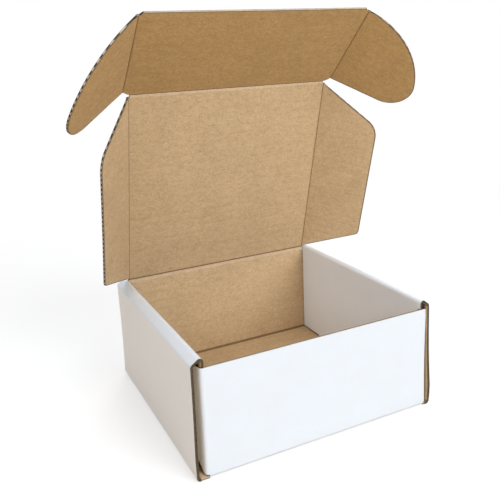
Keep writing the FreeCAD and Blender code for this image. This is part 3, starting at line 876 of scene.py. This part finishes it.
def pulled_in(grid, rows, columns):
    """The grid with its border points moved back from the cut edges."""
    moved = grid.copy()
    for sign, axis in ((rows, 0), (columns, 1)):
        ahead, behind = (np.roll(grid, way, axis=axis) - grid for way in (-1, 1))
        step = np.where(sign[..., None] > 0, ahead, behind)
        size = np.linalg.norm(step, axis=-1, keepdims=True)
        step = step / np.maximum(size, 1e-9) * np.minimum(CORE_SETBACK, size * CORE_SHARE)
        moved += np.where(sign[..., None] != 0, step, 0)
    return moved


def strip(sheet, path, lateral, to_world, keep, sheet_place, turned=False, low_edge=None, rims=PAINTED_SHADE_RIMS):
    """A folded strip of board: liners, and a core set back from the cut edges.

    keep(u, v) says where it is, and low_edge(u) how far its lower edge is cut away."""
    points, normals = np.array(path.points), np.array(path.normals)
    lengths = np.array(path.lengths)
    middle_u = (lengths[:-1] + lengths[1:]) / 2
    middle_v = (lateral[:-1] + lateral[1:]) / 2
    mask = keep(middle_u[:, None], middle_v[None, :])
    along, across = np.meshgrid(lengths, lateral, indexing="ij")
    flat = np.stack([across, along] if turned else [along, across], axis=-1) + np.array(sheet_place)
    across = across + lifted(across, low_edge(lengths)[:, None]) if low_edge else across

    def surface(height):
        place = points[:, None, :] + normals[:, None, :] * height
        return soften(to_world(place + np.zeros((1, len(lateral), 1)), across))

    kraft, white = np.array(path.kinds)[:, None], np.array(path.faces)[:, None]
    sheet.slab(surface(-HALF), surface(LINER - HALF), flat, (white, CORE_PAINTED_SHADE_SIDE, rims[0]), mask)
    sheet.slab(surface(HALF - LINER), surface(HALF), flat, (CORE_PAINTED_SHADE_SIDE, kraft, rims[0]), mask)
    shifts = core_shifts(mask)
    core_low, core_high = (pulled_in(surface(side * (HALF - LINER)), *shifts) for side in (-1, 1))
    sheet.slab(core_low, core_high, flat, (CORE_PAINTED_SHADE_SIDE, CORE_PAINTED_SHADE_SIDE, rims[1]), mask)


def in_lock(v, reach):
    """Which places along a side wall lie within that reach of a lock tab's middle."""
    inside = np.zeros(np.shape(v), bool)
    for centre in LOCK_CENTRES:
        inside |= np.abs(v - centre) < reach
    return inside


def lock_edges(reach):
    return [centre + way * reach for centre in LOCK_CENTRES for way in (-1, 1)]


def build_base(sheet):
    """The base, with its four slots, and with corners that reach to the side walls' cut ends."""
    slot_across, slot_along = HALF + LOCK_CLEARANCE, LOCK_WIDTH / 2 + LOCK_CLEARANCE
    stops = [side * (LOCK_X + step) for side in (-1, 1) for step in (-slot_across, slot_across)]
    stops = sorted([-BASE_X, -FLAT_X[-1], *stops, FLAT_X[1], BASE_X])
    path = Path((-BASE_X, HALF), (1, 0))
    # Under the foot of each inner panel the base is dark kraft: painted shadow.
    for low, high in zip(stops, stops[1:]):
        painted_shadow_under_panel = abs(abs(low + high) / 2 - LOCK_X) < slot_across
        path.run(high - low, CREASE_AND_PAINTED_SHADE_SIDE if painted_shadow_under_panel else KRAFT_SIDE)
    corner_y = HALF_DEPTH - CORNER_SHY
    lateral = spaced([-corner_y, -BASE_Y, BASE_Y, corner_y, *lock_edges(slot_along)])

    def keep(u, v):
        x = u - BASE_X
        slot = (np.abs(np.abs(x) - LOCK_X) < slot_across) & in_lock(v, slot_along)
        return ~slot & ((np.abs(v) < BASE_Y) | (x < -FLAT_X[-1]) | (x > FLAT_X[1]))

    strip(
        sheet, path, lateral, lambda p, v: np.stack([p[..., 0], v, p[..., 1]], axis=-1), keep,
        (-BASE_X, BASE_PLACE), rims=PALE_RIMS)


def build_side_wall(sheet, side):
    """A rolled side wall, from its fold at the base to the lock tabs of its inner panel."""
    roll_run = ROLL_WIDTH - 2 * ROLL_RADIUS
    slope = math.atan2(ROLL_RISE, roll_run)
    shoulder = WALL_TOP + PANEL_SETBACK
    panel_low, panel_y = BOARD + PANEL_LIFT, HALF_DEPTH - BOARD - PANEL_SETBACK
    # The outer face up to the roll takes the warmer white: painted warm reflected light.
    wall = Path((BASE_X, HALF), (1, 0)).facing(WALL_PAINTED_WARM_LIGHT_SIDE).fold(FOLD_RADIUS - HALF)
    wall.run(TRAY_HEIGHT - FOLD_RADIUS - ROLL_RADIUS).facing(WHITE_SIDE)
    wall.fold(ROLL_RADIUS - HALF, math.pi / 2 - slope).run(math.hypot(roll_run, ROLL_RISE))
    wall.fold(ROLL_RADIUS - HALF, math.pi / 2 + slope).run(TRAY_HEIGHT - ROLL_RADIUS + ROLL_RISE - shoulder)
    roll_end = wall.lengths[-1]
    panel_end = wall.run(shoulder - panel_low).lengths[-1]
    wall.run(PANEL_LIFT + LOCK_DEPTH)
    lateral = spaced([-HALF_DEPTH, HALF_DEPTH, -panel_y, panel_y, *lock_edges(LOCK_WIDTH / 2)])

    def keep(u, v):
        inner = np.abs(v) < panel_y
        return (u < roll_end) | ((u < panel_end) & inner) | ((u >= panel_end) & in_lock(v, LOCK_WIDTH / 2))

    strip(
        sheet, wall, lateral, lambda p, v: np.stack([side * p[..., 0], v, p[..., 1]], axis=-1), keep,
        (side * WALL_PLACE, BASE_PLACE))


def build_end_wall(sheet, end):
    """The front (-1) or back (1) wall. The back wall goes on up to the lid's hinge. Painted shade darkens
    its foot above the fold, and a band of painted highlight runs along the back wall's top.
    """
    wall = Path((BASE_Y, HALF), (1, 0)).fold(FOLD_RADIUS - HALF).run(PAINTED_SHADE_FOOT_BAND, CREASE_AND_PAINTED_SHADE_SIDE)
    top = wall.run(WALL_TOP - FOLD_RADIUS - PAINTED_SHADE_FOOT_BAND).lengths[-1]
    if end > 0:
        wall.run(WALL_DROP - CREST_GAP - PAINTED_HIGHLIGHT_BAND).run(PAINTED_HIGHLIGHT_BAND, PAINTED_HIGHLIGHT_SIDE)
    strip(
        sheet, wall, spaced([-FLAT_X[-1], FLAT_X[1], -HINGE_X, HINGE_X]),
        lambda p, v: np.stack([v, end * p[..., 0], p[..., 1]], axis=-1),
        lambda u, v: (u < top) | (np.abs(v) < HINGE_X),
        (0, end * END_PLACE), turned=True, rims=PALE_RIMS)


def corner_path(side):
    """A corner tab from its wall's end: a tight turn, a slanting run, and the way along the side wall.

    Returns the path and the length of its turn."""
    turn, start = CORNER_TURN[side], FLAT_X[side]
    tab = Path((start, -(HALF_DEPTH - HALF)), (1, 0)).fold(CORNER_TURN_RADIUS[side], turn)
    turned = tab.lengths[-1]
    gone = tab.points[-1][0] - start + CORNER_EASE_RADIUS * (1 - math.sin(turn))
    slant = max(CORNER_X - HALF - start - gone, LEAST_SLANT) / math.cos(turn)
    tab.run(slant, step=FINE_GRID).fold(CORNER_EASE_RADIUS, math.pi / 2 - turn)
    return tab.run(TAB_LENGTH - tab.lengths[-1]), turned


def build_corner_tab(sheet, side, end):
    tab, turned = corner_path(side)
    strip(
        sheet, tab, spaced([FOLD_RADIUS, WALL_TOP]),
        lambda p, v: np.stack([side * p[..., 0], -end * p[..., 1], v], axis=-1),
        lambda u, v: np.ones(np.broadcast(u, v).shape, bool),
        (side * (FLAT_X[side] + TAB_PLACE), end * END_PLACE),
        low_edge=lambda u: np.interp(u - turned, RELIEF_STOPS, (0, CORNER_RELIEF, 0)))


def build_tray():
    sheet = Sheet()
    build_base(sheet)
    for side in (-1, 1):
        build_side_wall(sheet, side)
    for end in (-1, 1):
        build_end_wall(sheet, end)
        for side in (-1, 1):
            build_corner_tab(sheet, side, end)
    piece = sheet.build("tray_board")
    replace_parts(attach(piece, "tray"), "tray")


def seen_by(tree, *rays):
    """1 for rays of either of two kinds, else 0."""
    path = tree.nodes.new("ShaderNodeLightPath")
    seen = tree.nodes.new("ShaderNodeMath")
    seen.operation = "MAXIMUM"
    for slot, ray in enumerate(rays):
        tree.links.new(path.outputs[ray], seen.inputs[slot])
    return seen.outputs["Value"]


def blend_shaders(tree, share, first, second):
    mix = tree.nodes.new("ShaderNodeMixShader")
    tree.links.new(share, mix.inputs["Fac"])
    tree.links.new(first, mix.inputs[1])
    tree.links.new(second, mix.inputs[2])
    return mix.outputs["Shader"]


def distance_fade(tree):
    """0 near the origin, 1 from where the floor's shadow has faded."""
    coords = tree.nodes.new("ShaderNodeTexCoord")
    away = tree.nodes.new("ShaderNodeVectorMath")
    away.operation = "LENGTH"
    tree.links.new(coords.outputs["Object"], away.inputs[0])
    fade = tree.nodes.new("ShaderNodeMapRange")
    fade.interpolation_type = "SMOOTHSTEP"
    fade.inputs["From Min"].default_value, fade.inputs["From Max"].default_value = FLOOR_FADE
    tree.links.new(away.outputs["Value"], fade.inputs["Value"])
    return fade.outputs["Result"]


def floor_material():
    """Pale to the light that it throws back, and seen as white with a soft shadow."""
    material = bpy.data.materials.new("pale_floor")
    material.use_nodes = True
    tree = material.node_tree
    shader = tree.nodes["Principled BSDF"]
    shader.inputs["Roughness"].default_value = 0.9
    shader.inputs["Specular IOR Level"].default_value = 0.0
    shader.inputs["Base Color"].default_value = (*FLOOR_COLOR, 1)
    glow = value_node(tree, "ShaderNodeEmission", Strength=FLOOR_GLOW)
    white = value_node(tree, "ShaderNodeEmission", Strength=1.0)
    pale = value_node(tree, "ShaderNodeBsdfDiffuse", Color=(*FLOOR_SHOWN, 1))
    lit = tree.nodes.new("ShaderNodeAddShader")
    tree.links.new(pale.outputs["BSDF"], lit.inputs[0])
    tree.links.new(glow.outputs["Emission"], lit.inputs[1])
    shown = blend_shaders(tree, distance_fade(tree), lit.outputs["Shader"], white.outputs["Emission"])
    seen = seen_by(tree, "Is Camera Ray", "Is Glossy Ray")
    surface = blend_shaders(tree, seen, shader.outputs["BSDF"], shown)
    tree.links.new(surface, tree.nodes["Material Output"].inputs["Surface"])
    return material


def build_floor():
    mesh = bpy.data.meshes.new("floor")
    corners = [(FLOOR * x, FLOOR * y, 0) for x, y in ((-1, -1), (1, -1), (1, 1), (-1, 1))]
    mesh.from_pydata(corners, [], [(0, 1, 2, 3)])
    mesh.materials.append(floor_material())
    floor = bpy.data.objects.new("floor", mesh)
    bpy.context.scene.collection.objects.link(floor)
    floor.location.z = -FLOOR_DROP


def build_world():
    world = bpy.data.worlds.new("studio")
    bpy.context.scene.world = world
    world.use_nodes = True
    tree = world.node_tree
    background = tree.nodes["Background"]
    background.inputs["Color"].default_value = (*WORLD_COLOR, 1)
    background.inputs["Strength"].default_value = WORLD_STRENGTH
    white = value_node(tree, "ShaderNodeBackground", Color=(1, 1, 1, 1), Strength=1.0)
    seen = seen_by(tree, "Is Camera Ray", "Is Transmission Ray")
    surface = blend_shaders(tree, seen, background.outputs["Background"], white.outputs["Background"])
    tree.links.new(surface, tree.nodes["World Output"].inputs["Surface"])


def build_lamps():
    for name, place, size, power, color in LAMPS:
        data = bpy.data.lights.new(name, "AREA")
        data.shape, data.size, data.energy, data.color = "DISK", size, power, color
        light = bpy.data.objects.new(name, data)
        bpy.context.scene.collection.objects.link(light)
        light.location = place
        light.rotation_mode = "QUATERNION"
        light.rotation_quaternion = (LIT_POINT - Vector(place)).to_track_quat("-Z", "Y")


def build_camera():
    """The photograph's viewpoint, fitted to the box's corners."""
    azimuth, elevation, roll = math.radians(-25.23), math.radians(13.18), math.radians(-2.6)
    distance, aside, above = 0.47098, -0.01948, 0.13705
    focal_pixels, centre_x, centre_y, image = 642.0, 240.0, 200.0, 500.0
    back = Vector((math.sin(azimuth) * math.cos(elevation), -math.cos(azimuth) * math.cos(elevation),
                   math.sin(elevation)))
    level = Vector((math.cos(azimuth), math.sin(azimuth), 0))
    upright = back.cross(level)
    right = math.cos(roll) * level + math.sin(roll) * upright
    up = -math.sin(roll) * level + math.cos(roll) * upright
    data = bpy.data.cameras.new("camera")
    data.sensor_width = 36.0
    data.lens = focal_pixels / image * data.sensor_width
    data.shift_x = (image / 2 - centre_x) / image
    data.shift_y = (centre_y - image / 2) / image
    data.clip_start, data.clip_end = 0.01, 50
    camera = bpy.data.objects.new("camera", data)
    bpy.context.scene.collection.objects.link(camera)
    place = back * distance + right * aside + up * above
    camera.matrix_world = Matrix.Translation(place) @ Matrix((right, up, back)).transposed().to_4x4()
    bpy.context.scene.camera = camera


build_tray()
build_lid()
build_tuck()
for flap_name, flap_side in SIDES.items():
    build_side_flap(flap_name, flap_side)
    build_ear(flap_name, flap_side)
build_creases()
build_floor()
build_world()
build_lamps()
build_camera()
bpy.context.scene.view_settings.view_transform = "Standard"
